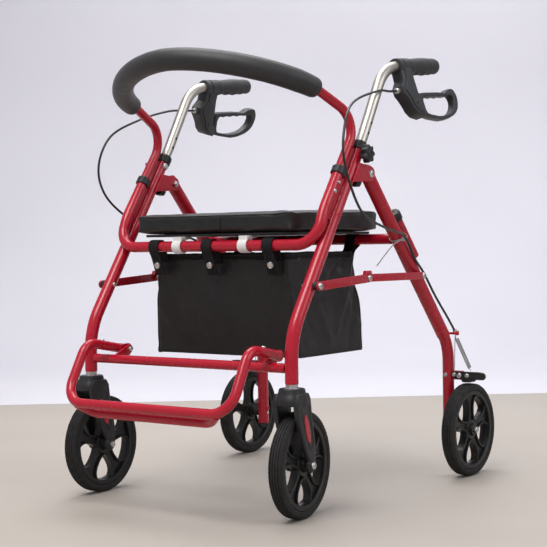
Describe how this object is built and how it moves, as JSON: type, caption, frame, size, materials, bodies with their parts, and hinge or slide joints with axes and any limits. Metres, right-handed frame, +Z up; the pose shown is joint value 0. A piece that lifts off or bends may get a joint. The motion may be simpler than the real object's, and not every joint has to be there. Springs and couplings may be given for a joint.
{
  "type": "rollator walker",
  "caption": "Folding rollator walker: red tube frame, padded seat with basket below, foam backrest bow, loop-brake handles, swivelling front casters and a fold-up footrest.",
  "frame": {"origin": "on the floor, under the middle of the overall width and length", "axes": "+Z up, the front of the walker faces -Y and the handles point to +Y, +X to one side"},
  "size_m": [0.7, 0.8222, 0.9027],
  "materials": {
    "red_paint": "gloss",
    "satin_silver": "satin, adjustment holes",
    "zinc_steel": "zinc plated",
    "black_plastic": "fine texture",
    "cable_jacket": "satin",
    "white_plastic": "satin",
    "grip_rubber": "matte, ribbed",
    "tyre": "ribbed tread",
    "foam": "closed-cell foam, matte",
    "seat_fabric": "woven nylon, padded",
    "basket_fabric": "woven nylon"
  },
  "bodies": {
    "front_frame": {"front_leg_right": "red_paint", "handle_collar_right": "black_plastic", "backrest_collar_right": "black_plastic", "cable_upper_right": "cable_jacket", "front_leg_left": "red_paint", "handle_collar_left": "black_plastic", "backrest_collar_left": "black_plastic", "cable_upper_left": "cable_jacket", "front_seat_rail": "red_paint", "lower_crossbar": "red_paint", "backrest_bar": "red_paint", "backrest_foam": "foam", "basket": "basket_fabric"},
    "rear_frame": {"rear_leg_right": "red_paint", "spare_socket_cap_right": "black_plastic", "rear_axle_right": "zinc_steel", "brake_spring_right": "zinc_steel", "cable_lower_right": "cable_jacket", "rear_leg_left": "red_paint", "spare_socket_cap_left": "black_plastic", "rear_axle_left": "zinc_steel", "brake_spring_left": "zinc_steel", "cable_lower_left": "cable_jacket", "rear_seat_rail": "red_paint"},
    "seat": {"seat_pad": "seat_fabric", "seat_board": "black_plastic", "seat_clip_right": "white_plastic", "seat_clip_left": "white_plastic"},
    "footrest": {"footrest_frame": "red_paint"},
    "handle_right": {"handle_tube_right": "satin_silver", "grip_right": "grip_rubber", "brake_housing_right": "black_plastic"},
    "brake_lever_right": {"brake_lever_right": "black_plastic"},
    "height_knob_right": {"height_knob_right": "black_plastic"},
    "backrest_button_right": {"backrest_button_right": "zinc_steel"},
    "caster_right": {"caster_fork_right": "black_plastic", "front_axle_right": "zinc_steel"},
    "front_wheel_right": {"front_tyre_right": "tyre", "front_rim_right": "black_plastic"},
    "rear_wheel_right": {"rear_tyre_right": "tyre", "rear_rim_right": "black_plastic"},
    "brake_arm_right": {"brake_arm_right": "black_plastic"},
    "stay_front_right": {"stay_front_link_right": "red_paint"},
    "stay_rear_right": {"stay_rear_link_right": "red_paint"},
    "handle_left": {"handle_tube_left": "satin_silver", "grip_left": "grip_rubber", "brake_housing_left": "black_plastic"},
    "brake_lever_left": {"brake_lever_left": "black_plastic"},
    "height_knob_left": {"height_knob_left": "black_plastic"},
    "backrest_button_left": {"backrest_button_left": "zinc_steel"},
    "caster_left": {"caster_fork_left": "black_plastic", "front_axle_left": "zinc_steel"},
    "front_wheel_left": {"front_tyre_left": "tyre", "front_rim_left": "black_plastic"},
    "rear_wheel_left": {"rear_tyre_left": "tyre", "rear_rim_left": "black_plastic"},
    "brake_arm_left": {"brake_arm_left": "black_plastic"},
    "stay_front_left": {"stay_front_link_left": "red_paint"},
    "stay_rear_left": {"stay_rear_link_left": "red_paint"}
  },
  "joints": [
    {"name": "frame_fold", "type": "hinge", "parent": "front_frame", "child": "rear_frame", "pos_m": [0, -0.02475, 0.646], "axis": [-1, 0, 0], "range_deg": [0, 33], "deforming": ["basket", "cable_upper_right", "cable_upper_left"]},
    {"name": "seat_flip", "type": "hinge", "parent": "front_frame", "child": "seat", "pos_m": [0, -0.18975, 0.508], "axis": [1, 0, 0], "range_deg": [0, 75]},
    {"name": "footrest_fold", "type": "hinge", "parent": "front_frame", "child": "footrest", "pos_m": [0, -0.23375, 0.299], "axis": [-1, 0, 0], "range_deg": [0, 90]},
    {"name": "handle_height_right", "type": "slide", "parent": "front_frame", "child": "handle_right", "axis": [0, 0.5534, 0.8329], "range_m": [0, 0.075], "deforming": ["cable_upper_right"]},
    {"name": "height_knob_right", "type": "hinge", "parent": "front_frame", "child": "height_knob_right", "pos_m": [0.274, -0.0492, 0.684], "axis": [1, 0, 0], "continuous": true},
    {"name": "brake_lever_right", "type": "hinge", "parent": "handle_right", "child": "brake_lever_right", "pos_m": [0.27805, 0.12748, 0.79398], "axis": [0.9632, -0.0281, 0.2675], "range_deg": [0, 12], "stiffness_Nm_per_rad": 3, "springref_deg": -20.05},
    {"name": "backrest_button_right", "type": "slide", "parent": "front_frame", "child": "backrest_button_right", "axis": [-1, 0, 0], "range_m": [0, 0.0024], "stiffness_N_per_m": 300, "springref_m": -0.003},
    {"name": "caster_swivel_right", "type": "hinge", "parent": "front_frame", "child": "caster_right", "pos_m": [0.256, -0.27775, 0.27], "axis": [0, 0, 1], "continuous": true},
    {"name": "front_wheel_right", "type": "hinge", "parent": "caster_right", "child": "front_wheel_right", "pos_m": [0.25276, -0.25095, 0.1], "axis": [0.9928, 0.1201, 0], "continuous": true},
    {"name": "rear_wheel_right", "type": "hinge", "parent": "rear_frame", "child": "rear_wheel_right", "pos_m": [0.303, 0.31125, 0.1], "axis": [1, 0, 0], "continuous": true},
    {"name": "brake_arm_right", "type": "hinge", "parent": "rear_frame", "child": "brake_arm_right", "pos_m": [0.287, 0.30425, 0.217], "axis": [0, 1, 0], "range_deg": [0, 5.5]},
    {"name": "stay_front_right", "type": "hinge", "parent": "front_frame", "child": "stay_front_right", "pos_m": [0.2796, -0.21762, 0.4305], "axis": [1, 0, 0], "range_deg": [0, 40.36]},
    {"name": "stay_rear_right", "type": "hinge", "parent": "rear_frame", "child": "stay_rear_right", "pos_m": [0.2753, 0.17091, 0.4388], "axis": [-1, 0, 0], "range_deg": [0, 23.8]},
    {"name": "handle_height_left", "type": "slide", "parent": "front_frame", "child": "handle_left", "axis": [0, 0.5534, 0.8329], "range_m": [0, 0.075], "deforming": ["cable_upper_left"]},
    {"name": "height_knob_left", "type": "hinge", "parent": "front_frame", "child": "height_knob_left", "pos_m": [-0.274, -0.0492, 0.684], "axis": [1, 0, 0], "continuous": true},
    {"name": "brake_lever_left", "type": "hinge", "parent": "handle_left", "child": "brake_lever_left", "pos_m": [-0.27805, 0.12748, 0.79398], "axis": [0.9632, 0.0281, -0.2675], "range_deg": [0, 12], "stiffness_Nm_per_rad": 3, "springref_deg": -20.05},
    {"name": "backrest_button_left", "type": "slide", "parent": "front_frame", "child": "backrest_button_left", "axis": [1, 0, 0], "range_m": [0, 0.0024], "stiffness_N_per_m": 300, "springref_m": -0.003},
    {"name": "caster_swivel_left", "type": "hinge", "parent": "front_frame", "child": "caster_left", "pos_m": [-0.256, -0.27775, 0.27], "axis": [0, 0, 1], "continuous": true},
    {"name": "front_wheel_left", "type": "hinge", "parent": "caster_left", "child": "front_wheel_left", "pos_m": [-0.25708, -0.25077, 0.1], "axis": [0.9992, 0.0401, 0], "continuous": true},
    {"name": "rear_wheel_left", "type": "hinge", "parent": "rear_frame", "child": "rear_wheel_left", "pos_m": [-0.303, 0.31125, 0.1], "axis": [1, 0, 0], "continuous": true},
    {"name": "brake_arm_left", "type": "hinge", "parent": "rear_frame", "child": "brake_arm_left", "pos_m": [-0.287, 0.30425, 0.217], "axis": [0, -1, 0], "range_deg": [0, 5.5]},
    {"name": "stay_front_left", "type": "hinge", "parent": "front_frame", "child": "stay_front_left", "pos_m": [-0.2796, -0.21762, 0.4305], "axis": [1, 0, 0], "range_deg": [0, 40.36]},
    {"name": "stay_rear_left", "type": "hinge", "parent": "rear_frame", "child": "stay_rear_left", "pos_m": [-0.2753, 0.17091, 0.4388], "axis": [-1, 0, 0], "range_deg": [0, 23.8]}
  ],
  "couplings": [
    {"joint": "brake_arm_right", "follows": "brake_lever_right", "ratio": 0.45},
    {"joint": "stay_front_right", "follows": "frame_fold", "ratio": 1.2078},
    {"joint": "stay_rear_right", "follows": "frame_fold", "ratio": 0.706},
    {"joint": "brake_arm_left", "follows": "brake_lever_left", "ratio": 0.45},
    {"joint": "stay_front_left", "follows": "frame_fold", "ratio": 1.2078},
    {"joint": "stay_rear_left", "follows": "frame_fold", "ratio": 0.706}
  ]
}
